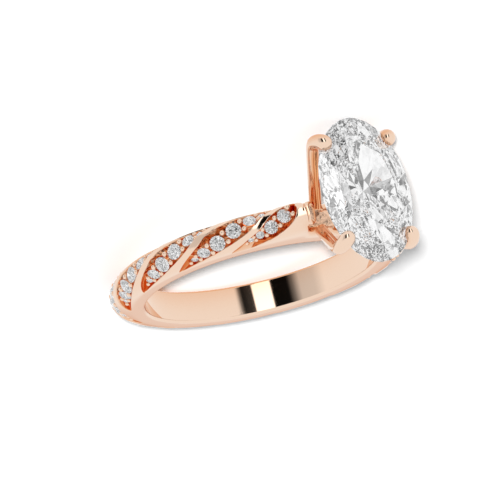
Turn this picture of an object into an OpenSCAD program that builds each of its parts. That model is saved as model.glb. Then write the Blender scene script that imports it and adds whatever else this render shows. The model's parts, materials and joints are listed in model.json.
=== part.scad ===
// Finger ring with a twisted shank set with small stones, and a four-claw head
// that holds one large oval stone.
//
// The ring is drawn as it rests on a table: on its side, on the end of the oval
// stone and the back of the band, so the band leans by the angle rest_lean.
// The origin is the middle of the finger hole and +Z points up.
// Before that lean, +X points through the head and +Z runs along the finger.

/* [Finger hole] */
// Diameter of the finger hole
hole_d = 16.5; // [15.5:0.5:19]
// Chamfer around both rims of the finger hole
rim_c = 0.12; // [0.05:0.01:0.2]

/* [Band] */
// Width of the band, along the finger
band_w = 2.3; // [2.1:0.1:2.6]
// Thickness of the band at its crown
band_t = 2.25; // [2.15:0.05:2.5]
// Height of the band's flat sides, before its crown starts to curve
side_h = 0.85; // [0.75:0.05:1]

/* [Shoulders] */
// Height of a shoulder's top above the finger hole
shoulder_h = 3.75; // [3.3:0.05:4]
// Angle from the head's middle to a shoulder's top
shoulder_a = 12.4; // [11.5:0.1:13]
// Thickness of the band straight below the stone
bridge_t = 2; // [1.7:0.1:2.3]

/* [Twist] */
// Number of whole stone fields around the band
fields = 12; // [11:1:13]
// Angle from the head's middle to the first rib
first_rib_a = 28.5; // [28:0.5:30]
// Width of a polished rib
rib_w = 0.35; // [0.25:0.05:0.5]
// Angle that a rib travels around the band for each degree over its crown
rib_slope = 0.194; // [0.17:0.002:0.21]
// Depth of a stone field below the ribs
field_d = 0.8; // [0.75:0.05:0.9]

/* [Small stones] */
// Diameter of the largest small stone
pave_d = 1.12; // [0.95:0.01:1.15]
// Depth of a small stone's girdle below the ribs
pave_sink = 0.22; // [0.18:0.01:0.26]

/* [Oval stone] */
// Length of the oval stone
stone_l = 10.5; // [9.5:0.1:11]
// Width of the oval stone
stone_w = 7; // [6.5:0.1:7.4]
// Height of the stone's girdle above the finger hole
stone_h = 7.33; // [7.1:0.01:7.8]
// Thickness of the stone's girdle
girdle_t = 0.2; // [0.1:0.05:0.3]

/* [Head] */
// Diameter of a claw where it grips the stone
claw_d = 0.96; // [0.85:0.01:1.05]
// Diameter of a claw at its foot
claw_foot_d = 0.84; // [0.7:0.01:0.9]
// Diameter of a claw's rounded tip
claw_tip_d = 1.16; // [1.1:0.01:1.25]
// Radius of the bend that folds a claw over the stone
claw_bend_r = 1.1; // [1:0.05:1.3]
// Angle of a straight claw from the head's axis
claw_lean = 37.5; // [36:0.5:39]
// Angle of the claws around the head, from the band's direction
claw_a = 53.6; // [50:0.1:56]
// Clearance between a claw's notch and the stone
seat_gap = 0.05; // [0.03:0.01:0.08]
// Diameter of the rounded collar that ends each shoulder
collar_d = 0.8; // [0.6:0.05:0.9]
// Length of a collar, along the finger
collar_l = 1.7; // [1.4:0.1:2]
// Height of a collar's middle above the finger hole
collar_h = 3.35; // [3.1:0.05:3.6]

/* [Hidden] */
$fn = 64;

// Band sizes that follow from the driving ones
hole_r = hole_d / 2;
half_w = band_w / 2;
side_r = hole_r + side_h;
pitch_a = (360 - 2 * first_rib_a) / fields;
rib_rise = atan(half_w * 180 / PI / (rib_slope * 180 / PI * (hole_r + band_t)));
rib_half_a = rib_w / 2 / sin(rib_rise) / (hole_r + band_t) * 180 / PI;
// The band is drawn with its inside this far into the finger hole, which is then cut
hole_stock = 0.5;
// Over the crown, a stone field ends at this angle on either side
field_end = 84;
// The rest of the twist between the first rib and the head's middle
short_a = first_rib_a - shoulder_a - 1.6;
// How much of a wall's foot lies inside its top edge, in degrees around the band
wall_draft_a = 0.35;

// Oval stone sizes that follow
girdle_r = hole_r + stone_h;
crown_h = 0.15 * stone_w;
pavilion_h = 0.43 * stone_w;
table_share = 0.56;

// Claw path: a straight wire, then a bend, seen in the plane through the head's axis
// The stone's edge bites into a claw by claw_bite, and the bend's middle is bend_below the girdle
claw_bite = 0.1;
bend_below = 0.5;
grip_r = oval_radius(stone_w / 2, stone_l / 2, claw_a);
claw_out = grip_r + claw_d / 2 - claw_bite;
bend_x = girdle_r - bend_below;
bend_y = claw_out - claw_bend_r;
bend_start_x = bend_x - claw_bend_r * sin(claw_lean);
bend_start_y = bend_y + claw_bend_r * cos(claw_lean);
claw_fold = 50;
claw_foot_x = hole_r + bridge_t / 2;
claw_sides = 12;
function claw_y(x) = bend_start_y - (bend_start_x - x) * tan(claw_lean);

// Collars: each stands a little inside its shoulder's top, bent round the head
collar_a = 10.7;
collar_bend = 18;

// Lean at rest: the plane that touches the stone's low end and the back of the band
rest_lean = atan((stone_l / 2 - half_w) / (girdle_r - girdle_t / 2 + side_r));

// Rows over the crown of the band, as shares of field_end, and how deep the field is there
// columns: place, depth
FIELD_ROWS = [
    [-1.00, 0.00],
    [-0.94, 0.45],
    [-0.87, 0.72],
    [-0.77, 0.92],
    [-0.65, 1.00],
    [-0.50, 1.00],
    [-0.30, 1.00],
    [-0.10, 1.00],
    [0.10, 1.00],
    [0.30, 1.00],
    [0.50, 1.00],
    [0.65, 1.00],
    [0.77, 0.92],
    [0.87, 0.72],
    [0.94, 0.45],
    [1.00, 0.00]
];

// How the band's section changes from the shoulders to the back
// columns: angle from the head's middle, share of the way from band_t to shoulder_h,
// squareness of the section (2 is an ellipse)
PROFILE = [
    [0, 1.00, 3.0],
    [12.4, 1.00, 3.0],
    [16, 0.82, 3.0],
    [20, 0.58, 3.0],
    [25, 0.38, 2.9],
    [30, 0.27, 2.8],
    [45, 0.17, 2.6],
    [65, 0.10, 2.4],
    [90, 0.06, 2.2],
    [120, 0.03, 2.1],
    [180, 0.00, 2.0]
];

// Low edge of a whole field, as a share of the room between its two ribs
// columns: place over the crown, edge
LEAF_EDGE = [
    [-1.00, 0.000],
    [-0.55, 0.000],
    [-0.30, 0.005],
    [0.00, 0.015],
    [0.30, 0.050],
    [0.55, 0.140],
    [0.75, 0.290],
    [0.90, 0.520],
    [1.00, 0.900]
];

// Edges of the short field beside a shoulder, as shares of its room
// columns: place over the crown, edge on the head's side, edge on the rib's side
SHORT_EDGES = [
    [-1.00, 0.93, 0.97],
    [-0.90, 0.90, 0.97],
    [-0.75, 0.85, 0.98],
    [-0.55, 0.70, 1.00],
    [-0.30, 0.33, 1.00],
    [0.00, 0.10, 1.00],
    [0.30, 0.13, 1.00],
    [0.55, 0.17, 1.00],
    [0.75, 0.24, 1.00],
    [0.90, 0.37, 1.00],
    [1.00, 0.52, 1.00]
];

// Stones of a whole field, as shares of the largest
LEAF_STONES = [0.48, 0.84, 1, 1, 0.84, 0.48];
// Half the travel of their row over the crown and around the band beside the ribs
leaf_row_over = 58;
leaf_row_along = 5.9;
// How far the row's middle lies off the crown's line and off the field's middle beside a shoulder
// Both fade to nothing at the back, where the two arms' fields meet
leaf_off_over = 10;
leaf_off_along = -1;
leaf_off_from = 110;

// Stones of a short field
// columns: angle from the first rib, angle over the crown, share of the largest stone
SHORT_STONES = [
    [-9.0, -4, 0.90],
    [-3.9, 14, 0.86],
    [0.6, 36, 0.55],
    [4.4, 51, 0.38]
];

// Radius of an ellipse at an angle, from its half axes
function oval_radius(a, b, angle) = 1 / sqrt(pow(cos(angle) / a, 2) + pow(sin(angle) / b, 2));

// Smooth step from 0 to 1
function ease(t) = let(u = max(0, min(1, t))) u * u * (3 - 2 * u);

// Value of a table's column at a place, with straight lines between its rows
function at(table, place, column = 1) = lookup(place, [for (row = table) [row[0], row[column]]]);

// Signed angle from the head's middle
function from_head(a) = a > 180 ? a - 360 : a;

// Height of the crown above the finger hole at an angle around the band
// Past the shoulder's top it drops to the bridge below the stone
bridge_drop = 3.4;
function crown_h_at(a) =
    let(d = abs(from_head(a)))
    d >= shoulder_a
        ? band_t + (shoulder_h - band_t) * at(PROFILE, d)
        : bridge_t + (shoulder_h - bridge_t) * ease(1 - (shoulder_a - d) / bridge_drop);

// Squareness of the section at an angle around the band
function square_at(a) = at(PROFILE, abs(from_head(a)), 2);

// Shares of the crown's rise and of half the width, at an angle over the crown
function crown_share(over, square) = pow(cos(over), 2 / square);
function side_share(over, square) = sign(over) * pow(abs(sin(over)), 2 / square);

// Share of the ribs' slope at a place around the band: none under the head
function twist_share(a) = ease(abs(from_head(a)) / first_rib_a);

// Point on the band: a is measured beside the ribs, over is the angle over the crown
function band_angle(a, over) =
    a + rib_slope * twist_share(a) * max(-field_end, min(field_end, over));

function band_point(a, over, depth) =
    let(
        angle = band_angle(a, over),
        square = square_at(angle),
        rise = crown_h_at(angle) - side_h - depth,
        r = side_r + rise * crown_share(over, square)
    )
    [r * cos(angle), r * sin(angle), (half_w - depth) * side_share(over, square)];

// Edges of a field, in degrees from the start of its cell
// kind 0 is a whole field, 1 the short one past the head and 2 its twin before the head
function cell_width(kind) = kind == 0 ? pitch_a : short_a;
function low_edge(kind, place) =
    kind == 0 ? rib_half_a + at(LEAF_EDGE, place) * (pitch_a - 2 * rib_half_a)
    : kind == 1 ? at(SHORT_EDGES, place) * (short_a - rib_half_a)
    : short_a - at(SHORT_EDGES, -place, 2) * (short_a - rib_half_a);
function high_edge(kind, place) =
    kind == 0 ? pitch_a - low_edge(0, -place)
    : kind == 1 ? at(SHORT_EDGES, place, 2) * (short_a - rib_half_a)
    : short_a - at(SHORT_EDGES, -place) * (short_a - rib_half_a);

// Columns of a cell: on the rib, at the field's edge, at its wall's foot and on its floor
// Each entry is [degrees from the cell's start, share of the field's depth]
function cell_columns(kind, place) =
    let(
        low = low_edge(kind, place),
        high = high_edge(kind, place),
        wide = cell_width(kind),
        draft = min(wall_draft_a, (high - low) / 5),
        floor_low = low + draft,
        floor_high = high - draft
    )
    [
        for (s = [0 : 2]) [low * s / 3, 0],
        [low, 0],
        for (s = [0 : 4]) [floor_low + (floor_high - floor_low) * s / 4, 1],
        [high, 0],
        for (s = [1 : 2]) [high + (wide - high) * s / 3, 0]
    ];

// Start angle and kind of every cell, around the band
short_start = first_rib_a - short_a;
CELLS = [
    [short_start, 1],
    for (k = [0 : fields - 1]) [first_rib_a + k * pitch_a, 0],
    [360 - first_rib_a, 2]
];

// Plain columns below the head, as shares of the angle to the short field
PLAIN_SHARES = [0, 0.2, 0.4, 0.52, 0.6, 0.68, 0.76, 0.84, 0.92];

// All columns at one row: angle beside the ribs and depth
function ring_columns(place, depth) = [
    for (s = PLAIN_SHARES) [s * short_start, 0],
    for (cell = CELLS)
        for (c = cell_columns(cell[1], place)) [cell[0] + c[0], c[1] * depth],
    for (i = [0 : len(PLAIN_SHARES) - 2])
        [360 - short_start * (1 - i / (len(PLAIN_SHARES) - 1)), 0]
];

// One row of points on the crown
function crown_row(over, place, depth) = [
    for (c = ring_columns(place, depth)) band_point(c[0], over, c[1])
];

// One row of points on a side's inner edge, inside the finger hole
function inner_row(side) = [
    for (c = ring_columns(side, 0))
        let(angle = band_angle(c[0], 90 * side), r = hole_r - hole_stock)
        [r * cos(angle), r * sin(angle), half_w * side]
];

// Faces of a closed grid, whose rows and columns both run round and meet themselves
function torus_faces(rows, columns) = [
    for (j = [0 : rows - 1])
        for (i = [0 : columns - 1])
            let(
                a = j * columns + i,
                b = j * columns + (i + 1) % columns,
                c = ((j + 1) % rows) * columns + (i + 1) % columns,
                d = ((j + 1) % rows) * columns + i
            )
            each [[a, d, b], [b, d, c]]
];

// Solid band with its ribs and stone fields, before the finger hole is cut
module band_body() {
    rows = [
        inner_row(-1),
        crown_row(-90, -1, 0),
        crown_row(-(field_end + 90) / 2, -1, 0),
        for (row = FIELD_ROWS)
            crown_row(row[0] * field_end, row[0], row[1] * field_d),
        crown_row((field_end + 90) / 2, 1, 0),
        crown_row(90, 1, 0),
        inner_row(1)
    ];
    columns = len(rows[0]);
    polyhedron([for (row = rows) each row], torus_faces(len(rows), columns), convexity = 12);
}

// Finger hole with a chamfer at both rims
module finger_hole() {
    cylinder(h = 2 * band_w, r = hole_r, center = true, $fn = 180);
    for (side = [0, 1])
        mirror([0, 0, side])
            translate([0, 0, half_w - rim_c])
                cylinder(h = 2 * rim_c, r1 = hole_r, r2 = hole_r + 2 * rim_c, $fn = 180);
}

// Stations along a claw: middle of the wire, its direction and its radius
// They follow the straight wire, the bend over the stone and the rounded tip
function bend_station(t) =
    let(dir = claw_lean - t * (claw_lean + claw_fold))
    [
        bend_x - claw_bend_r * sin(dir),
        bend_y + claw_bend_r * cos(dir),
        dir,
        (claw_d + (claw_tip_d - claw_d) * t) / 2
    ];

function tip_station(t) =
    let(end = bend_station(1), r = claw_tip_d / 2)
    [
        end[0] + r * sin(t) * cos(claw_fold),
        end[1] - r * sin(t) * sin(claw_fold),
        -claw_fold,
        r * cos(t)
    ];

CLAW_STATIONS = [
    [claw_foot_x, claw_y(claw_foot_x), claw_lean, 0],
    [claw_foot_x, claw_y(claw_foot_x), claw_lean, claw_foot_d / 2],
    for (i = [0 : 7]) bend_station(i / 7),
    for (t = [30, 55, 75, 90]) tip_station(t)
];

// Stations along a collar, which bends back towards the head at both rounded ends
collar_bend_r = (collar_l - collar_d) / 2 / sin(collar_bend);
function collar_station(t, past = 0) =
    let(
        dir = 90 + collar_bend * t,
        r = collar_d / 2,
        ahead = sign(t) * r * sin(past)
    )
    [
        collar_bend_r * (cos(collar_bend * t) - 1) + ahead * cos(dir),
        collar_bend_r * sin(collar_bend * t) + ahead * sin(dir),
        dir,
        r * cos(past)
    ];

COLLAR_STATIONS = [
    for (past = [90, 75, 50, 25]) collar_station(-1, past),
    for (t = [-3 : 3]) collar_station(t / 3),
    for (past = [25, 50, 75, 90]) collar_station(1, past)
];

function wire_ring(station) = [
    for (i = [0 : claw_sides - 1])
        let(t = i * 360 / claw_sides, out = station[3] * cos(t))
        [
            station[0] - out * sin(station[2]),
            station[1] + out * cos(station[2]),
            station[3] * sin(t)
        ]
];

// Wire along stations, in the plane of +X and +Y; it closes at its first and last station
module wire(stations) {
    n = claw_sides;
    last = len(stations) - 1;
    points = [
        [stations[0][0], stations[0][1], 0],
        for (i = [1 : last - 1]) each wire_ring(stations[i]),
        [stations[last][0], stations[last][1], 0]
    ];
    end = len(points) - 1;
    faces = [
        for (i = [0 : n - 1]) [0, 1 + i, 1 + (i + 1) % n],
        for (j = [0 : last - 3]) each ring_faces(n, 1 + j * n, true),
        for (i = [0 : n - 1]) [end, end - n + (i + 1) % n, end - n + i]
    ];
    polyhedron(points, faces);
}

module claws() {
    for (side = [0, 180])
        for (a = [claw_a, -claw_a])
            rotate([side + a, 0, 0])
                wire(CLAW_STATIONS);
}

module collars() {
    for (side = [1, -1])
        rotate([0, 0, side * collar_a])
            translate([hole_r + collar_h, 0, 0])
                rotate([90, 0, 0])
                    wire(COLLAR_STATIONS);
}

// Closed cut stone from its rings of points, lowest point and top face
// Each ring has the same number of points, and height is along +X
function ring_of(n, a, b, x, turn = 0) = [
    for (i = [0 : n - 1])
        let(t = (i + turn) * 360 / n)
        [x, a * cos(t), b * sin(t)]
];

// Faces between a ring of n points and the next ring
function ring_faces(n, start, flip = false) = [
    for (i = [0 : n - 1])
        let(a = start + i, b = start + (i + 1) % n)
        each flip ? [[a, a + n, b], [b, a + n, b + n]] : [[a, b, a + n], [b, b + n, a + n]]
];

// Cut stone with a table, a crown, a girdle band and a pavilion
module cut_stone(n, a, b, crown, girdle, pavilion, table) {
    points = [
        [-pavilion, 0, 0],
        each ring_of(n, a, b, -girdle / 2),
        each ring_of(n, a, b, girdle / 2),
        each ring_of(n, a * table, b * table, crown, 0.5)
    ];
    faces = [
        for (i = [0 : n - 1]) [0, 1 + (i + 1) % n, 1 + i],
        each ring_faces(n, 1),
        each ring_faces(n, 1 + n),
        [for (i = [0 : n - 1]) 1 + 2 * n + i]
    ];
    polyhedron(points, [for (f = faces) [for (i = [len(f) - 1 : -1 : 0]) f[i]]]);
}

// Oval stone grown by a clearance, with its girdle's middle at its own place
module oval_gem(gap) {
    translate([girdle_r, 0, 0])
        cut_stone(16, stone_w / 2 + gap, stone_l / 2 + gap, crown_h + gap,
            girdle_t + 2 * gap, pavilion_h + gap, table_share);
}

// One small stone on the band, facing straight out of the crown
module pave_stone(angle, over, d) {
    square = square_at(angle);
    rise = crown_h_at(angle) - side_h - pave_sink;
    tall = rise * crown_share(over, square);
    wide = (half_w - pave_sink) * side_share(over, square);
    facing = atan2(pow(abs(wide) / (half_w - pave_sink), square - 1) / (half_w - pave_sink),
        pow(tall / rise, square - 1) / rise);
    translate([0, 0, wide])
        rotate([0, 0, angle])
            translate([side_r + tall, 0, 0])
                rotate([0, -sign(over) * facing, 0])
                    cut_stone(8, d / 2, d / 2, 0.15 * d, 0.03 * d, 0.43 * d, 0.58);
}

// Places along a row of touching stones, from -1 to 1, as a running sum of their sizes
function row_sum(sizes, count) = count == 0 ? 0 : sizes[count - 1] + row_sum(sizes, count - 1);
function row_place(sizes, i) =
    (row_sum(sizes, i) + sizes[i] / 2) / row_sum(sizes, len(sizes)) * 2 - 1;

// Gap between neighbours in a row, as a share of the largest stone
row_gap = 0.12;

module leaf_stones(start) {
    sizes = [for (s = LEAF_STONES) s + row_gap];
    middle = start + pitch_a / 2;
    off = sign(from_head(middle)) * ease((180 - abs(from_head(middle))) / (180 - leaf_off_from));
    for (i = [0 : len(LEAF_STONES) - 1]) {
        s = row_place(sizes, i);
        over = s * leaf_row_over + off * leaf_off_over;
        a = middle + s * leaf_row_along + off * leaf_off_along + rib_slope * over;
        pave_stone(a, over, LEAF_STONES[i] * pave_d);
    }
}

module short_stones() {
    for (row = SHORT_STONES)
        pave_stone(first_rib_a + row[0], row[1], row[2] * pave_d);
}

// Turn from the ring's own axes to the way it rests
module at_rest() {
    rotate([0, -rest_lean, 0])
        children();
}

module shank_with_head() {
    color("peachpuff")
        at_rest()
            difference() {
                union() {
                    band_body();
                    claws();
                    collars();
                }
                finger_hole();
                oval_gem(seat_gap);
            }
}

module oval_stone() {
    color("white")
        at_rest()
            oval_gem(0);
}

module pave_stones() {
    color("whitesmoke")
        at_rest() {
            for (k = [0 : fields - 1])
                leaf_stones(first_rib_a + k * pitch_a);
            for (side = [0, 180])
                rotate([side, 0, 0])
                    short_stones();
        }
}

shank_with_head();
oval_stone();
pave_stones();
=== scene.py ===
# %% [markdown]
# # A twisted ring with an oval stone
# This lesson dresses a finger ring whose solids are already made. The ring lies on its side on a
# table: its band is twisted, every twist holds a leaf-shaped field of small stones, and four claws
# hold one large oval stone. We load the solids first, because every new piece has to sit on them.

# %% Load the frame
import json
import math

import bmesh
import bpy
import numpy as np
from mathutils import Matrix, Vector


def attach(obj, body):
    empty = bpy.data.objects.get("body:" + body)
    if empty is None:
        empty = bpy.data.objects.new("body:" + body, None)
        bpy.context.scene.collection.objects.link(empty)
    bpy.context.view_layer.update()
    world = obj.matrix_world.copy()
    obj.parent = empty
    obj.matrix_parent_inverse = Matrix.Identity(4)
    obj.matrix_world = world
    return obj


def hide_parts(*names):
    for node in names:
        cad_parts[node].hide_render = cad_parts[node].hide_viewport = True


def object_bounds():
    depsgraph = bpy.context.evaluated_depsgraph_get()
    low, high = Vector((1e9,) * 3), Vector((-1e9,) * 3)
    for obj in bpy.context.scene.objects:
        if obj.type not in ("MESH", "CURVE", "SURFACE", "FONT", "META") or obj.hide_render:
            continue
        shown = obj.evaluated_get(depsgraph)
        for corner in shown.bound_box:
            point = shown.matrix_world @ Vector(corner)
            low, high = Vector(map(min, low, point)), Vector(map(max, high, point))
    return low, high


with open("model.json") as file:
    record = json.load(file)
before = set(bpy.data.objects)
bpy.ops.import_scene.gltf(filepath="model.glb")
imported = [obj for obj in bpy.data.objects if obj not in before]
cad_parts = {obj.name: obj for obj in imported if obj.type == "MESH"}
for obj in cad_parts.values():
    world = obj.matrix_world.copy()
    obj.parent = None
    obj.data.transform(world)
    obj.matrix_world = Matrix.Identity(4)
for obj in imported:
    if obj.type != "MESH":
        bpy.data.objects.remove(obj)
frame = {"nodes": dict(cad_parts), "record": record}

MM = 0.001
cad_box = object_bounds()
hole_axis = Vector(frame["record"]["mounts"][0]["axis"]).normalized()
head_axis = Vector((hole_axis.z, 0, -hole_axis.x))
across_band = hole_axis.cross(head_axis)
hole_radius = frame["record"]["mounts"][0]["dims"]["r_mm"]
lowest, highest = [[round(v / MM, 2) for v in corner] for corner in cad_box]
print("solids from", lowest, "to", highest, "mm")

# %% [markdown]
# ## The camera
# The photograph was taken from far away, so its lines hardly converge. A long lens far from the
# ring gives the same picture. The view direction, the picture's up direction and the scale were
# measured on the ring, whose middle lies a little right of and below the picture's middle.

# %% Place the camera
PICTURE_PX = 500
PX_PER_MM = 14.42
ring_middle_px = (257.6, 266.2)
camera_distance = 1400 * MM
CLIP = (0.01, 10)
towards_camera = Vector((0.7593, 0.5234, 0.3866)).normalized()
picture_down = Vector((-0.4880, 0.0650, 0.8704)).normalized()
picture_right = picture_down.cross(-towards_camera).normalized()

shift_right = (PICTURE_PX / 2 - ring_middle_px[0]) / PX_PER_MM * MM
shift_down = (PICTURE_PX / 2 - ring_middle_px[1]) / PX_PER_MM * MM
camera_data = bpy.data.cameras.new("camera")
camera = bpy.data.objects.new("camera", camera_data)
bpy.context.scene.collection.objects.link(camera)
camera.matrix_world = Matrix.Translation(
    towards_camera * camera_distance + picture_right * shift_right + picture_down * shift_down
) @ Matrix((picture_right, -picture_down, towards_camera)).transposed().to_4x4()
picture_width = PICTURE_PX / PX_PER_MM * MM
camera_data.lens = camera_data.sensor_width * camera_distance / picture_width
camera_data.clip_start, camera_data.clip_end = CLIP
bpy.context.scene.camera = camera
print("lens", round(camera_data.lens), "mm, picture", round(picture_width / MM, 1), "mm wide")

# %% [markdown]
# ## Helpers for modelling
# Operators work on what is selected, so every step starts from an empty selection. Pieces this
# small are modelled at a thousand times their size, as under a loupe, and shrunk at the end.

# %% Selection helpers
LOUPE = 1000
WELD = 0.002


def only(obj):
    """Leaves obj alone selected and active."""
    if bpy.context.mode != "OBJECT":
        bpy.ops.object.mode_set(mode="OBJECT")
    bpy.ops.object.select_all(action="DESELECT")
    obj.select_set(True)
    bpy.context.view_layer.objects.active = obj


def edit(obj):
    """Opens obj in edit mode with nothing selected."""
    only(obj)
    bpy.ops.object.mode_set(mode="EDIT")
    bpy.ops.mesh.select_all(action="DESELECT")


def apply_modifier(obj, kind, **settings):
    """Adds a modifier, sets it and applies it."""
    only(obj)
    modifier = obj.modifiers.new(kind.lower(), kind)
    for name, value in settings.items():
        setattr(modifier, name, value)
    bpy.ops.object.modifier_apply(modifier=modifier.name)


def resize(obj, factor):
    """Scales obj about the origin, into its mesh."""
    only(obj)
    obj.scale = (factor,) * 3
    bpy.ops.object.transform_apply(location=False, rotation=False, scale=True)


def triangles(obj):
    """How many triangles obj's faces make."""
    return sum(len(p.vertices) - 2 for p in obj.data.polygons)


def copy_of_node(node, name):
    """A new piece from a node's mesh, with its loose triangles merged, seen through the loupe."""
    piece = bpy.data.objects.new(name, frame["nodes"][node].data.copy())
    piece.data.name = name
    piece.data.materials.clear()
    bpy.context.scene.collection.objects.link(piece)
    resize(piece, LOUPE)
    edit(piece)
    bpy.ops.mesh.select_all(action="SELECT")
    bpy.ops.mesh.remove_doubles(threshold=WELD)
    bpy.ops.mesh.normals_make_consistent(inside=False)
    only(piece)
    return piece


# %% [markdown]
# ## Rose gold
# Polished rose gold is a metal with a pale peach reflection. Where the walls of a crevice reflect
# each other the light picks up the colour again and again, so crevices look deep orange. The shader
# does most of that itself. Two Ambient Occlusion nodes find the corners and the narrow crevices and
# paint shade into the base colour there: a deeper, more orange colour stands in for shade and for
# light bounced from gold to gold.

# %% Rose gold material
GOLD = (0.88, 0.665, 0.52)
# Painted shade: deeper, more orange colours for corners and crevices
GOLD_PAINTED_CORNER_SHADE = (0.80, 0.40, 0.20)
GOLD_PAINTED_CREVICE_SHADE = (0.82, 0.31, 0.11)
# Painted bounce light for the sides that face the stone
GOLD_PAINTED_BOUNCE = (0.78, 0.36, 0.16)
# For the painted shade: how far the Ambient Occlusion looks in millimetres, and the openness where
# the colour is fully deep and fully pale
CORNER_SHADE_SPAN = (3.0, 0.35, 0.90)
CREVICE_SHADE_SPAN = (0.45, 0.12, 0.62)
OCCLUSION_SAMPLES = 8
GOLD_ROUGHNESS = 0.05
# Traces of polishing: their fineness and how far they vary the roughness
POLISH_SCALE = 900
POLISH_DETAIL = 3
POLISH_RANGE = (0.8, 1.3)


def node_material(name):
    """A new material with its node tree and its Principled shader."""
    material = bpy.data.materials.new(name)
    material.use_nodes = True
    tree = material.node_tree
    return material, tree, tree.nodes["Principled BSDF"]


def painted_occlusion_shade(tree, distance_mm, from_min, from_max, deep, pale):
    """A colour that turns from pale to deep where surfaces stand close together: painted shade."""
    occlusion = tree.nodes.new("ShaderNodeAmbientOcclusion")
    occlusion.samples = OCCLUSION_SAMPLES
    occlusion.inputs["Distance"].default_value = distance_mm * MM
    depth = tree.nodes.new("ShaderNodeMapRange")
    depth.inputs["From Min"].default_value = from_min
    depth.inputs["From Max"].default_value = from_max
    painted_shade_mix = tree.nodes.new("ShaderNodeMix")
    painted_shade_mix.data_type = "RGBA"
    painted_shade_mix.inputs["A"].default_value = (*deep, 1)
    painted_shade_mix.inputs["B"].default_value = (*pale, 1)
    tree.links.new(occlusion.outputs["AO"], depth.inputs["Value"])
    tree.links.new(depth.outputs["Result"], painted_shade_mix.inputs["Factor"])
    return painted_shade_mix


def rose_gold(name):
    """Polished rose gold with painted shade, deeper in corners, in crevices and on the sides that face
    the stone.
    """
    material, tree, shader = node_material(name)
    shader.inputs["Metallic"].default_value = 1.0
    place = tree.nodes.new("ShaderNodeTexCoord")
    corners = painted_occlusion_shade(tree, *CORNER_SHADE_SPAN, GOLD_PAINTED_CORNER_SHADE, GOLD)
    crevices = painted_occlusion_shade(tree, *CREVICE_SHADE_SPAN, GOLD_PAINTED_CREVICE_SHADE, GOLD)
    tree.links.new(corners.outputs["Result"], crevices.inputs["B"])
    # Painted bounce light: a deeper base colour on the sides that face the stone, by the mesh's mark
    painted_bounce_mark = tree.nodes.new("ShaderNodeAttribute")
    painted_bounce_mark.attribute_name = "painted_bounce_share"
    painted_bounce_mix = tree.nodes.new("ShaderNodeMix")
    painted_bounce_mix.data_type = "RGBA"
    painted_bounce_mix.inputs["B"].default_value = (*GOLD_PAINTED_BOUNCE, 1)
    tree.links.new(painted_bounce_mark.outputs["Fac"], painted_bounce_mix.inputs["Factor"])
    tree.links.new(crevices.outputs["Result"], painted_bounce_mix.inputs["A"])
    tree.links.new(painted_bounce_mix.outputs["Result"], shader.inputs["Base Color"])
    polish = tree.nodes.new("ShaderNodeTexNoise")
    polish.inputs["Scale"].default_value = POLISH_SCALE
    polish.inputs["Detail"].default_value = POLISH_DETAIL
    gloss = tree.nodes.new("ShaderNodeMapRange")
    gloss.inputs["To Min"].default_value = GOLD_ROUGHNESS * POLISH_RANGE[0]
    gloss.inputs["To Max"].default_value = GOLD_ROUGHNESS * POLISH_RANGE[1]
    tree.links.new(place.outputs["Object"], polish.inputs["Vector"])
    tree.links.new(polish.outputs["Fac"], gloss.inputs["Value"])
    tree.links.new(gloss.outputs["Result"], shader.inputs["Roughness"])
    return material


polished_gold = rose_gold("polished_rose_gold")
print("made", polished_gold.name)

# %% [markdown]
# ## Clear stones
# A cut stone bends light far more than window glass: its index of refraction is 2.42. Light that
# enters the top turns back at the facets below, so the stone shows white, grey and black flashes of
# the room. A glass shader on a truly faceted mesh gives exactly that.

# %% Stone materials
STONE_IOR = 2.42
# How much light a cloud takes from the oval and from the small stones, and how fine the clouds are
OVAL_CLOUDING = 0.02
SMALL_CLOUDING = 0.03
CLOUD_SCALE = 1200
# How much of the clouding the blue keeps
CLOUD_BLUE = 0.8


def clear_stone(name, clouding):
    """A clear cut stone with faint clouds in it."""
    material, tree, shader = node_material(name)
    shader.inputs["IOR"].default_value = STONE_IOR
    shader.inputs["Transmission Weight"].default_value = 1.0
    shader.inputs["Roughness"].default_value = 0.0
    place = tree.nodes.new("ShaderNodeTexCoord")
    cloud = tree.nodes.new("ShaderNodeTexNoise")
    cloud.inputs["Scale"].default_value = CLOUD_SCALE
    shade = tree.nodes.new("ShaderNodeMix")
    shade.data_type = "RGBA"
    shade.inputs["A"].default_value = (1 - clouding, 1 - clouding, 1 - clouding * CLOUD_BLUE, 1)
    shade.inputs["B"].default_value = (1, 1, 1, 1)
    tree.links.new(place.outputs["Object"], cloud.inputs["Vector"])
    tree.links.new(cloud.outputs["Fac"], shade.inputs["Factor"])
    tree.links.new(shade.outputs["Result"], shader.inputs["Base Color"])
    return material


oval_clear = clear_stone("oval_stone_clear", OVAL_CLOUDING)
small_clear = clear_stone("small_stone_clear", SMALL_CLOUDING)
print("made", oval_clear.name, small_clear.name)

# %% [markdown]
# ## The polished metal
# The band, shoulders, collars and claws are one soldered piece. It could be modelled afresh, but
# the solid already has every rib and field in its place. So we work on a copy of its mesh.
# Triangles are joined to quads, each sharp edge gets a narrow bevel, and Subdivision Surface rounds
# the rest, which softens the edges the way a polishing mop does.

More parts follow.
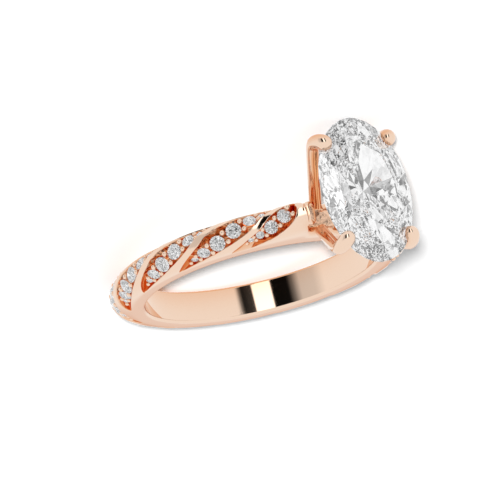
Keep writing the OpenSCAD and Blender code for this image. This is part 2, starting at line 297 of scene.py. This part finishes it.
# %% Model the metal
# Lengths are in millimetres, as under the loupe
TINY_EDGE = 0.004
QUAD_BEND = math.radians(25)
QUAD_SHAPE = math.radians(60)
SHARP_EDGE = math.radians(35)
BEVEL_WIDTH = 0.03
metal = copy_of_node("shank_with_head", "ring_metal")
edit(metal)
bpy.ops.mesh.select_all(action="SELECT")
bpy.ops.mesh.dissolve_degenerate(threshold=TINY_EDGE)
bpy.ops.mesh.tris_convert_to_quads(face_threshold=QUAD_BEND, shape_threshold=QUAD_SHAPE)
bpy.ops.mesh.select_all(action="DESELECT")
bpy.ops.mesh.edges_select_sharp(sharpness=SHARP_EDGE)
bpy.ops.mesh.bevel(offset=BEVEL_WIDTH, segments=1, affect="EDGES", clamp_overlap=True)
only(metal)
print("bevelled", triangles(metal), "triangles")
apply_modifier(metal, "SUBSURF", levels=1)
print("rounded", triangles(metal), "triangles")

# %% [markdown]
# ## Soft arms
# The claws' arms are drawn from wire, so they are rounder than the band. Smooth Vertices moves each
# of their corners towards its neighbours. Smoothing also shrinks what it touches, so only the
# stretch between the lower collar and the claws' tips gets it.

# %% Round the claws' arms
# Where the stretch starts and ends, from the finger hole's middle towards the head
ARMS = (10.9, 14.9)
SMOOTH_ROUNDS = 6
SMOOTH_SHARE = 0.5
bm = bmesh.new()
bm.from_mesh(metal.data)
arm_corners = [v for v in bm.verts if ARMS[0] < v.co.dot(head_axis) < ARMS[1]]
for _ in range(SMOOTH_ROUNDS):
    bmesh.ops.smooth_vert(
        bm, verts=arm_corners, factor=SMOOTH_SHARE, use_axis_x=True, use_axis_y=True, use_axis_z=True
    )
bm.to_mesh(metal.data)
bm.free()
print("rounded", len(arm_corners), "corners of the arms")

# %% [markdown]
# ## Metal lit by metal
# Below the stone the claws and collars face each other, and light goes from gold to gold before it
# reaches the eye. These sides look deeper. An attribute on the mesh marks them from 0 to 1, and the
# material paints that bounced light into its base colour as a deeper colour, mixed in by that mark.

# %% Mark the sides that face the stone
# Pairs say where a mark is 0 and where it is 1
FACING_TURN = (-0.05, 0.40)
HEAD_FROM = (9.6, 10.6)
HEAD_TO = (15.2, 14.4)


def rise(value, none_at, all_at):
    """0 to 1 as value runs from none_at to all_at."""
    return min(max((value - none_at) / (all_at - none_at), 0), 1)


bm = bmesh.new()
bm.from_mesh(metal.data)
bm.normal_update()
facing = []
for v in bm.verts:
    along = v.co.dot(head_axis)
    inward = -(v.co - head_axis * along).normalized()
    turned = rise(v.normal.dot(inward), *FACING_TURN)
    facing.append(turned * rise(along, *HEAD_FROM) * rise(along, *HEAD_TO))
bm.free()
# The mark tells the material where to paint bounced light as a deeper colour
mark = metal.data.attributes.new("painted_bounce_share", "FLOAT", "POINT")
mark.data.foreach_set("value", facing)
print("facing the stone:", sum(f > 0.5 for f in facing), "corners")

# %% [markdown]
# ## An even mirror inside the band
# The inside of the band is a true cylinder, but its mesh has flat faces, and polished metal shows
# every small bend between them. Which way a cylinder faces is known exactly, so we write that into
# the normals of the faces' corners.

# %% Even reflections inside the band
# How far a face may lie off the wall, and the least cosine between its normal and the wall's
WALL_STRAY = 0.03
WALL_TURN = 0.97
only(metal)
bpy.ops.object.shade_smooth()
normals = [Vector(n.vector) for n in metal.data.corner_normals]
wall_faces = 0
for face in metal.data.polygons:
    off_axis = face.center - hole_axis * face.center.dot(hole_axis)
    inward = -off_axis.normalized()
    if abs(off_axis.length - hole_radius) < WALL_STRAY and face.normal.dot(inward) > WALL_TURN:
        wall_faces += 1
        for k in face.loop_indices:
            corner = metal.data.vertices[metal.data.loops[k].vertex_index].co
            normals[k] = (hole_axis * corner.dot(hole_axis) - corner).normalized()
metal.data.normals_split_custom_set(normals)
print("wall:", wall_faces, "faces with exact normals")

# %% [markdown]
# ## The metal takes its place
# The piece goes back to its true size, gets its material and stands in for the plain solid. Rays
# that come through a stone don't show it, which keeps the stones clear and white.

# %% Finish the metal
resize(metal, 1 / LOUPE)
metal.data.materials.append(polished_gold)
metal.visible_transmission = False
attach(metal, "root")
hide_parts("shank_with_head")
print("metal:", triangles(metal), "triangles")

# %% [markdown]
# ## A brilliant cut
# The small stones are round brilliants. A brilliant's corners lie on a few circles: the table, the
# tops of the kite facets, the girdle twice, the lower halves, and one point at the bottom. We add
# each circle as a primitive and let Convex Hull stretch the facets over them, then dissolve the
# flat seams. The sizes are shares of the girdle's radius, as a cutter states them.

# %% Cut one brilliant
CIRCLES = [
    # corners, radius, height, turn in degrees
    (8, 0.56, 0.300, 0.0),
    (8, 0.76, 0.204, 22.5),
    (16, 1.00, 0.025, 0.0),
    (16, 1.00, -0.025, 0.0),
    (8, 0.23, -0.690, 22.5),
]
CULET = -0.87
CULET_RADIUS = 0.001
SAME_POINT = 0.004
FLAT_SEAM = math.radians(1.5)


def brilliant(name, circles):
    """A cut stone of radius 1 about the origin, with its table facing +Z."""
    mesh = bpy.data.meshes.new(name)
    stone = bpy.data.objects.new(name, mesh)
    bpy.context.scene.collection.objects.link(stone)
    edit(stone)
    for corners, radius, height, turn in circles:
        bpy.ops.mesh.primitive_circle_add(
            vertices=corners, radius=radius, location=(0, 0, height), rotation=(0, 0, math.radians(turn))
        )
    bpy.ops.mesh.primitive_circle_add(vertices=3, radius=CULET_RADIUS, location=(0, 0, CULET))
    bpy.ops.mesh.select_all(action="SELECT")
    bpy.ops.mesh.convex_hull()
    bpy.ops.mesh.select_all(action="SELECT")
    bpy.ops.mesh.remove_doubles(threshold=SAME_POINT)
    bpy.ops.mesh.dissolve_limited(angle_limit=FLAT_SEAM)
    bpy.ops.mesh.select_all(action="SELECT")
    bpy.ops.mesh.normals_make_consistent(inside=False)
    only(stone)
    return stone


model_brilliant = brilliant("model_brilliant", CIRCLES)
print("one brilliant:", len(model_brilliant.data.polygons), "facets")

# %% [markdown]
# ## Where the small stones sit
# The solids hold a plain cut stone at every seat. Splitting a copy of them into loose parts gives
# each seat's middle, size and facing. A stone is flatter along its axis than across, so its axis is
# the direction in which its corners spread least.

# %% Read the seats
# A corner this share of the radius from the axis lies on the girdle
GIRDLE_SHARE = 0.95
plain_stones = copy_of_node("pave_stones", "plain_stones")
bm = bmesh.new()
bm.from_mesh(plain_stones.data)
bm.verts.ensure_lookup_table()
seats = []
seen = set()
for start in bm.verts:
    if start.index in seen:
        continue
    island, queue = [], [start]
    seen.add(start.index)
    while queue:
        v = queue.pop()
        island.append(v.co.copy())
        for e in v.link_edges:
            w = e.other_vert(v)
            if w.index not in seen:
                seen.add(w.index)
                queue.append(w)
    corners = np.array(island)
    middle = corners.mean(0)
    values, vectors = np.linalg.eigh(np.cov((corners - middle).T))
    axis = vectors[:, 0]
    along = (corners - middle) @ axis
    if abs(along.min()) < along.max():
        axis, along = -axis, -along
    across = np.linalg.norm(corners - middle - np.outer(along, axis), axis=1)
    radius = across.max()
    girdle = along[across > GIRDLE_SHARE * radius].mean()
    seats.append((Vector(middle + axis * girdle), Vector(axis), float(radius)))
bm.free()
bpy.data.objects.remove(plain_stones)
radii = [radius for middle, axis, radius in seats]
print(len(seats), "seats, radius", round(min(radii), 3), "to", round(max(radii), 3), "mm")

# %% [markdown]
# ## Setting the small stones
# The model stone is copied to every seat, turned to face out of the band, and the copies are joined
# into one piece. A small turn of its own keeps neighbours from flashing alike.

# %% Set the small stones
GOLDEN_TURN = math.radians(137.5)


def standing(middle, up):
    """The place of a thing that stands on its middle and points up along a direction."""
    return Matrix.Translation(middle) @ up.to_track_quat("Z", "Y").to_matrix().to_4x4()


def set_copies(model, name, places):
    """Copies a model to every place, each with its own mesh, and joins the copies at true size."""
    copies = []
    for k, place in enumerate(places):
        piece = bpy.data.objects.new(f"{name}_{k}", model.data.copy())
        bpy.context.scene.collection.objects.link(piece)
        piece.matrix_world = place
        copies.append(piece)
    bpy.data.objects.remove(model)
    bpy.ops.object.select_all(action="DESELECT")
    for piece in copies:
        piece.select_set(True)
    bpy.context.view_layer.objects.active = copies[0]
    bpy.ops.object.join()
    joined = bpy.context.view_layer.objects.active
    joined.name = name
    bpy.ops.object.transform_apply(location=True, rotation=True, scale=True)
    resize(joined, 1 / LOUPE)
    return joined


stone_places = []
for i, (middle, axis, radius) in enumerate(seats):
    own_turn = Matrix.Rotation(GOLDEN_TURN * i, 4, "Z")
    stone_places.append(standing(middle, axis) @ own_turn @ Matrix.Scale(radius, 4))
small_stones = set_copies(model_brilliant, "small_stones", stone_places)
small_stones.data.materials.append(small_clear)
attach(small_stones, "root")
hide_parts("pave_stones")
print("small stones:", triangles(small_stones), "triangles")

# %% [markdown]
# ## Beads between the small stones
# A setter raises little beads of metal from the field and pushes them over the stones' edges. Two
# stand in every gap between neighbours, and one or two beyond each end of a row. Neighbours in a row
# lie closer than stones of different rows, so the gap tells which stones make a row.

# %% Find the beads' places
# Lengths in millimetres beside a stone of the full radius; smaller stones have smaller beads, which
# shrink by this share of what their stone does
FULL_RADIUS = 0.56
BEAD_RADIUS = 0.20
BEAD_SHRINK = 0.4
BEAD_SIDE = 0.36
BEAD_BEYOND = 0.62
BEAD_BEYOND_SIDE = 0.33
# Stones with less than this between their edges stand in one row
ROW_GAP = 0.35
# A row that ends in a stone smaller than this share has one bead in the field's tip, not two
END_SHARE = 0.8
TIP_GAP = 0.15


def bead_radius(share):
    """A bead's radius beside a stone of this share of the full radius."""
    return BEAD_RADIUS * (1 - BEAD_SHRINK + BEAD_SHRINK * share)


bead_places = []
neighbours = {i: [] for i in range(len(seats))}
for i, (p, n, r) in enumerate(seats):
    for j in range(i + 1, len(seats)):
        q, m, s = seats[j]
        if (q - p).length - r - s < ROW_GAP:
            neighbours[i].append(j)
            neighbours[j].append(i)
            along = (q - p).normalized()
            up = (n + m).normalized()
            side = along.cross(up).normalized()
            share_here = (r + s) / 2 / FULL_RADIUS
            middle = (p * s + q * r) / (r + s)
            for sign in (1, -1):
                place = middle + side * sign * BEAD_SIDE * share_here
                bead_places.append((place, up, bead_radius(share_here)))
for i, near in neighbours.items():
    if len(near) == 1:
        p, n, r = seats[i]
        along = (p - seats[near[0]][0]).normalized()
        side = along.cross(n).normalized()
        share_here = r / FULL_RADIUS
        if share_here > END_SHARE:
            for sign in (1, -1):
                place = p + (along * BEAD_BEYOND + side * sign * BEAD_BEYOND_SIDE) * share_here
                bead_places.append((place, n, bead_radius(share_here)))
        else:
            bead_places.append((p + along * (r + TIP_GAP), n, bead_radius(share_here)))
print(len(bead_places), "beads;", sorted({len(v) for v in neighbours.values()}), "neighbours")

# %% [markdown]
# ## The shape of a bead
# A bead is a small dome on a stem. A sphere gives the dome once its lower part is cut away. The open
# edge is extruded down twice: drawn in to a neck, then spread to a foot that stands in the metal.

# %% Model one bead
CUT_AT = -0.25
# How far down each part goes, and how much wider it gets
NECK = (-0.45, 0.85)
FOOT = (-0.35, 1.5)
SPHERE_SIDES = 16
SPHERE_RINGS = 10
bpy.ops.mesh.primitive_uv_sphere_add(segments=SPHERE_SIDES, ring_count=SPHERE_RINGS, radius=1)
model_bead = bpy.context.view_layer.objects.active
edit(model_bead)
bpy.ops.mesh.select_all(action="SELECT")
bpy.ops.mesh.bisect(plane_co=(0, 0, CUT_AT), plane_no=(0, 0, 1), clear_inner=True, clear_outer=False)
for drop, spread in (NECK, FOOT):
    bpy.ops.mesh.extrude_edges_move(TRANSFORM_OT_translate={"value": (0, 0, drop)})
    bpy.ops.transform.resize(value=(spread, spread, 1), center_override=(0, 0, 0))
bpy.ops.mesh.edge_face_add()
bpy.ops.mesh.select_all(action="SELECT")
bpy.ops.mesh.normals_make_consistent(inside=False)
only(model_bead)
print("one bead:", triangles(model_bead), "triangles")

# %% [markdown]
# ## Setting the beads
# Each place gets a copy of the bead with its own mesh, scaled to its stone. The copies are joined,
# because all of them are one thing to whoever uses the ring.

# %% Copy the bead to its places
BEAD_LIFT = 0.02
stands = [standing(place + up * BEAD_LIFT, up) @ Matrix.Scale(r, 4) for place, up, r in bead_places]
bead_prongs = set_copies(model_bead, "bead_prongs", stands)
bpy.ops.object.shade_smooth()
bead_prongs.data.materials.append(polished_gold)
bead_prongs.visible_transmission = False
print("beads:", triangles(bead_prongs), "triangles")
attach(bead_prongs, "root")

# %% [markdown]
# ## The oval stone
# The large stone has the same cut drawn out into an oval. It is cut round, then stretched with the
# resize operator along the finger, and given more lower facets, which break its light into the
# small pieces that a long stone shows.

# %% Cut the oval stone
OVAL_CIRCLES = [
    # corners, radius, height, turn in degrees
    (8, 0.56, 0.300, 0.0),
    (8, 0.78, 0.196, 22.5),
    (32, 1.00, 0.028, 0.0),
    (32, 1.00, -0.028, 0.0),
    (16, 0.66, -0.390, 11.25),
    (8, 0.40, -0.600, 0.0),
    (8, 0.16, -0.775, 22.5),
]
oval_cad = copy_of_node("oval_stone", "oval_cad")
corners = np.array([v.co for v in oval_cad.data.vertices])
bpy.data.objects.remove(oval_cad)
along_head = corners @ np.array(head_axis)
girdle_length = np.ptp(corners @ np.array(hole_axis))
girdle_width = np.ptp(corners[:, 1])
print("oval stone", round(girdle_length, 2), "by", round(girdle_width, 2), "mm")

oval = brilliant("oval_brilliant", OVAL_CIRCLES)
edit(oval)
bpy.ops.mesh.select_all(action="SELECT")
half_sizes = (girdle_width / 2, girdle_length / 2, girdle_width / 2)
bpy.ops.transform.resize(value=half_sizes, center_override=(0, 0, 0))
only(oval)
table_height = OVAL_CIRCLES[0][2] * girdle_width / 2
girdle_middle = head_axis * (along_head.max() - table_height)
facing_out = Matrix((across_band, hole_axis, head_axis)).transposed().to_4x4()
oval.matrix_world = Matrix.Translation(girdle_middle) @ facing_out
bpy.ops.object.transform_apply(location=True, rotation=True, scale=True)
edit(oval)
bpy.ops.mesh.select_all(action="SELECT")
bpy.ops.mesh.normals_make_consistent(inside=False)
only(oval)
resize(oval, 1 / LOUPE)
oval.data.materials.append(oval_clear)
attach(oval, "root")
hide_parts("oval_stone")
print("oval stone:", len(oval.data.polygons), "facets")

# %% [markdown]
# ## The floor
# The ring lies on a plain white floor. The floor takes the ring's shadow, but mirrored and refracted
# rays pass through it, so the metal and the stones show the room on all sides.

# %% Floor
FLOOR_SIZE = 4
FLOOR_GREY = 0.92
FLOOR_ROUGHNESS = 0.9
floor_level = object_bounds()[0].z
bpy.ops.mesh.primitive_plane_add(size=FLOOR_SIZE, location=(0, 0, floor_level))
floor = bpy.context.view_layer.objects.active
floor.name = "floor"
floor_material, _, floor_shader = node_material("plain_floor")
floor_shader.inputs["Base Color"].default_value = (FLOOR_GREY, FLOOR_GREY, FLOOR_GREY, 1)
floor_shader.inputs["Roughness"].default_value = FLOOR_ROUGHNESS
floor_shader.inputs["Specular IOR Level"].default_value = 0.0
floor.data.materials.append(floor_material)
floor.visible_glossy = False
floor.visible_transmission = False
print("floor at", round(floor_level / MM, 2), "mm")

# %% [markdown]
# ## The room
# Polished metal shows only what is around it, and in a plain white room it would look like pale
# plastic. So the room gets darker and warmer parts, each told by its direction from the ring. They
# are worked out with Math nodes on the World, and a few small functions keep those chains short.

# %% Small helpers for nodes
room_world = bpy.data.worlds.new("pale_room")
room_world.use_nodes = True
room = room_world.node_tree
place_in_room = room.nodes.new("ShaderNodeTexCoord").outputs["Generated"]


def worked_out(operation, *values):
    """The result of a Math node whose values are sockets or numbers."""
    node = room.nodes.new("ShaderNodeMath")
    node.operation = operation
    for socket, value in zip(node.inputs, values):
        if isinstance(value, (int, float)):
            socket.default_value = value
        else:
            room.links.new(value, socket)
    return node.outputs["Value"]


def towards(direction):
    """How far a direction in the room points along another: the cosine between them."""
    node = room.nodes.new("ShaderNodeVectorMath")
    node.operation = "DOT_PRODUCT"
    node.inputs[1].default_value = direction
    room.links.new(place_in_room, node.inputs[0])
    return node.outputs["Value"]


def share(value, none_at, all_at):
    """0 to 1 as value runs from none_at to all_at, with soft ends."""
    node = room.nodes.new("ShaderNodeMapRange")
    node.interpolation_type = "SMOOTHSTEP"
    node.inputs["From Min"].default_value = none_at
    node.inputs["From Max"].default_value = all_at
    room.links.new(value, node.inputs["Value"])
    return node.outputs["Result"]


def blended(factor, colour_a, colour_b):
    """A mix of two colours, which are sockets or colours."""
    node = room.nodes.new("ShaderNodeMix")
    node.data_type = "RGBA"
    for socket, value in (("Factor", factor), ("A", colour_a), ("B", colour_b)):
        if isinstance(value, tuple):
            node.inputs[socket].default_value = (*value, 1)
        else:
            room.links.new(value, node.inputs[socket])
    return node.outputs["Result"]


def scaled(colour, factor):
    """A colour made brighter or darker."""
    node = room.nodes.new("ShaderNodeVectorMath")
    node.operation = "SCALE"
    node.inputs["Scale"].default_value = factor
    room.links.new(colour, node.inputs[0])
    return node.outputs["Vector"]


def ramp(value, stops):
    """A colour ramp from stops of position and brightness."""
    node = room.nodes.new("ShaderNodeValToRGB")
    elements = node.color_ramp.elements
    elements.remove(elements[1])
    for k, (position, brightness) in enumerate(stops):
        element = elements[0] if k == 0 else elements.new(position)
        element.position = position
        element.color = (brightness, brightness, brightness, 1)
    room.links.new(value, node.inputs["Fac"])
    return node.outputs["Color"]


# %% [markdown]
# ## What the metal mirrors
# One dark window stands beside the ring, and its bright bar gives the white stripe inside the band.
# The window's places are angles about the finger hole's axis, which run through a colour ramp, and
# its height over the hole ends it. Surfaces seen almost edge-on mirror the room's far side, which is
# warm, so the ribs have peach edges.

# %% The dark window and the warm side
WINDOW = [
    # angle about the hole from the head in degrees, brightness
    (5.0, 1.0),
    (8.5, 0.20),
    (11.0, 0.012),
    (21.6, 0.06),
    (22.4, 1.9),
    (39.6, 1.9),
    (40.4, 0.004),
    (57.0, 0.006),
    (62.0, 0.20),
    (69.0, 0.70),
    (84.0, 0.74),
    (95.0, 1.0),
]
# Pairs of degrees: where a part has ended, and where it is whole
WINDOW_BOTTOM = (-62, -46)
WINDOW_TOP = (5, -7)
WARM_REACH = (32, 3)
# To the right, down and towards the camera
WARM_SIDE = Vector((0.0, 0.12, -0.99))
WARM_COLOUR = (0.76, 0.47, 0.33)
WHITE = (1.0, 1.0, 1.0)


def share_of_angles(value, function, degrees):
    """0 to 1 between a pair of angles, for a value that is a sine or a cosine."""
    return share(value, *[function(math.radians(v)) for v in degrees])


height = towards(hole_axis)
angle = worked_out("ARCTAN2", towards(across_band), towards(head_axis))
turn = share(angle, -math.pi, math.pi)
turn.node.interpolation_type = "LINEAR"
brightest = max(brightness for degrees, brightness in WINDOW)
window_stops = [((degrees + 180) / 360, brightness / brightest) for degrees, brightness in WINDOW]
window = scaled(ramp(turn, window_stops), brightest)
above_bottom = share_of_angles(height, math.sin, WINDOW_BOTTOM)
below_top = share_of_angles(height, math.sin, WINDOW_TOP)
in_window = worked_out("MULTIPLY", above_bottom, below_top)
warm_direction = picture_right * WARM_SIDE.x + picture_down * WARM_SIDE.y + towards_camera * WARM_SIDE.z
warm = share_of_angles(towards(warm_direction), math.cos, WARM_REACH)
seen_in_metal = blended(in_window, blended(warm, WHITE, WARM_COLOUR), window)

# %% [markdown]
# ## What the stones show
# A cut stone gathers light from all over the room, and it sparkles only if the room isn't even.
# Noise gives the room pale and dark patches, which only rays that come through a stone can see.

# %% Patches that the stones show
PATCH_SCALE = 3.0
PATCH_DETAIL = 4.0
PATCHES = [
    # noise value, brightness
    (0.40, 0.004),
    (0.44, 0.12),
    (0.485, 0.50),
    (0.52, 0.98),
]
patches = room.nodes.new("ShaderNodeTexNoise")
patches.inputs["Scale"].default_value = PATCH_SCALE
patches.inputs["Detail"].default_value = PATCH_DETAIL
room.links.new(place_in_room, patches.inputs["Vector"])
seen_in_stones = ramp(patches.outputs["Fac"], PATCHES)

# %% [markdown]
# ## One room for three kinds of rays
# The Light Path node tells what kind of ray asks for the room's colour. Mirrored rays get the
# window, rays through a stone get the patches, and all others get white. Scattered light is dimmed,
# because the lamp brings most of it.

# %% Join them by the kind of ray
DIFFUSE_LIGHT = 0.45
ray = room.nodes.new("ShaderNodeLightPath")
seen_by_mirrors = blended(ray.outputs["Is Glossy Ray"], WHITE, seen_in_metal)
seen_by_all = blended(ray.outputs["Is Transmission Ray"], seen_by_mirrors, seen_in_stones)
background = room.nodes["Background"]
room.links.new(seen_by_all, background.inputs["Color"])
dimmer = worked_out("MULTIPLY", ray.outputs["Is Diffuse Ray"], DIFFUSE_LIGHT - 1)
strength = worked_out("ADD", dimmer, 1.0)
room.links.new(strength, background.inputs["Strength"])
bpy.context.scene.world = room_world
print("room:", len(room.nodes), "nodes")

# %% [markdown]
# ## The lamp
# A low sun stands almost behind the camera, so that the ring hides most of its shadow and only a
# narrow grey edge of it shows below and to the right. Mirrors and stones don't show the lamp itself.
# Light has to pass many facets of a stone before it leaves, so the path limits are raised.

# %% Lamp and picture settings
# How far the lamp stands to the left of and above the camera in the picture, as shares of its distance
LAMP_LEFT = 0.02
LAMP_UP = 0.025
LAMP_WIDTH = math.radians(3.2)
LAMP_POWER = 6.5
BOUNCES = 32
MIRROR_BOUNCES = 24
bpy.ops.object.light_add(type="SUN")
sun = bpy.context.view_layer.objects.active
sun.name = "low_light"
lamp_from = towards_camera - picture_right * LAMP_LEFT - picture_down * LAMP_UP
sun.rotation_euler = (-lamp_from).to_track_quat("-Z", "Y").to_euler()
sun.data.angle = LAMP_WIDTH
sun.data.energy = LAMP_POWER
sun.visible_glossy = False
sun.visible_transmission = False
bpy.context.scene.view_settings.view_transform = "Standard"
bpy.context.scene.cycles.max_bounces = BOUNCES
bpy.context.scene.cycles.glossy_bounces = MIRROR_BOUNCES
bpy.context.scene.cycles.transmission_bounces = MIRROR_BOUNCES
print("lamp", round(math.degrees(LAMP_WIDTH), 1), "degrees wide,", BOUNCES, "bounces")
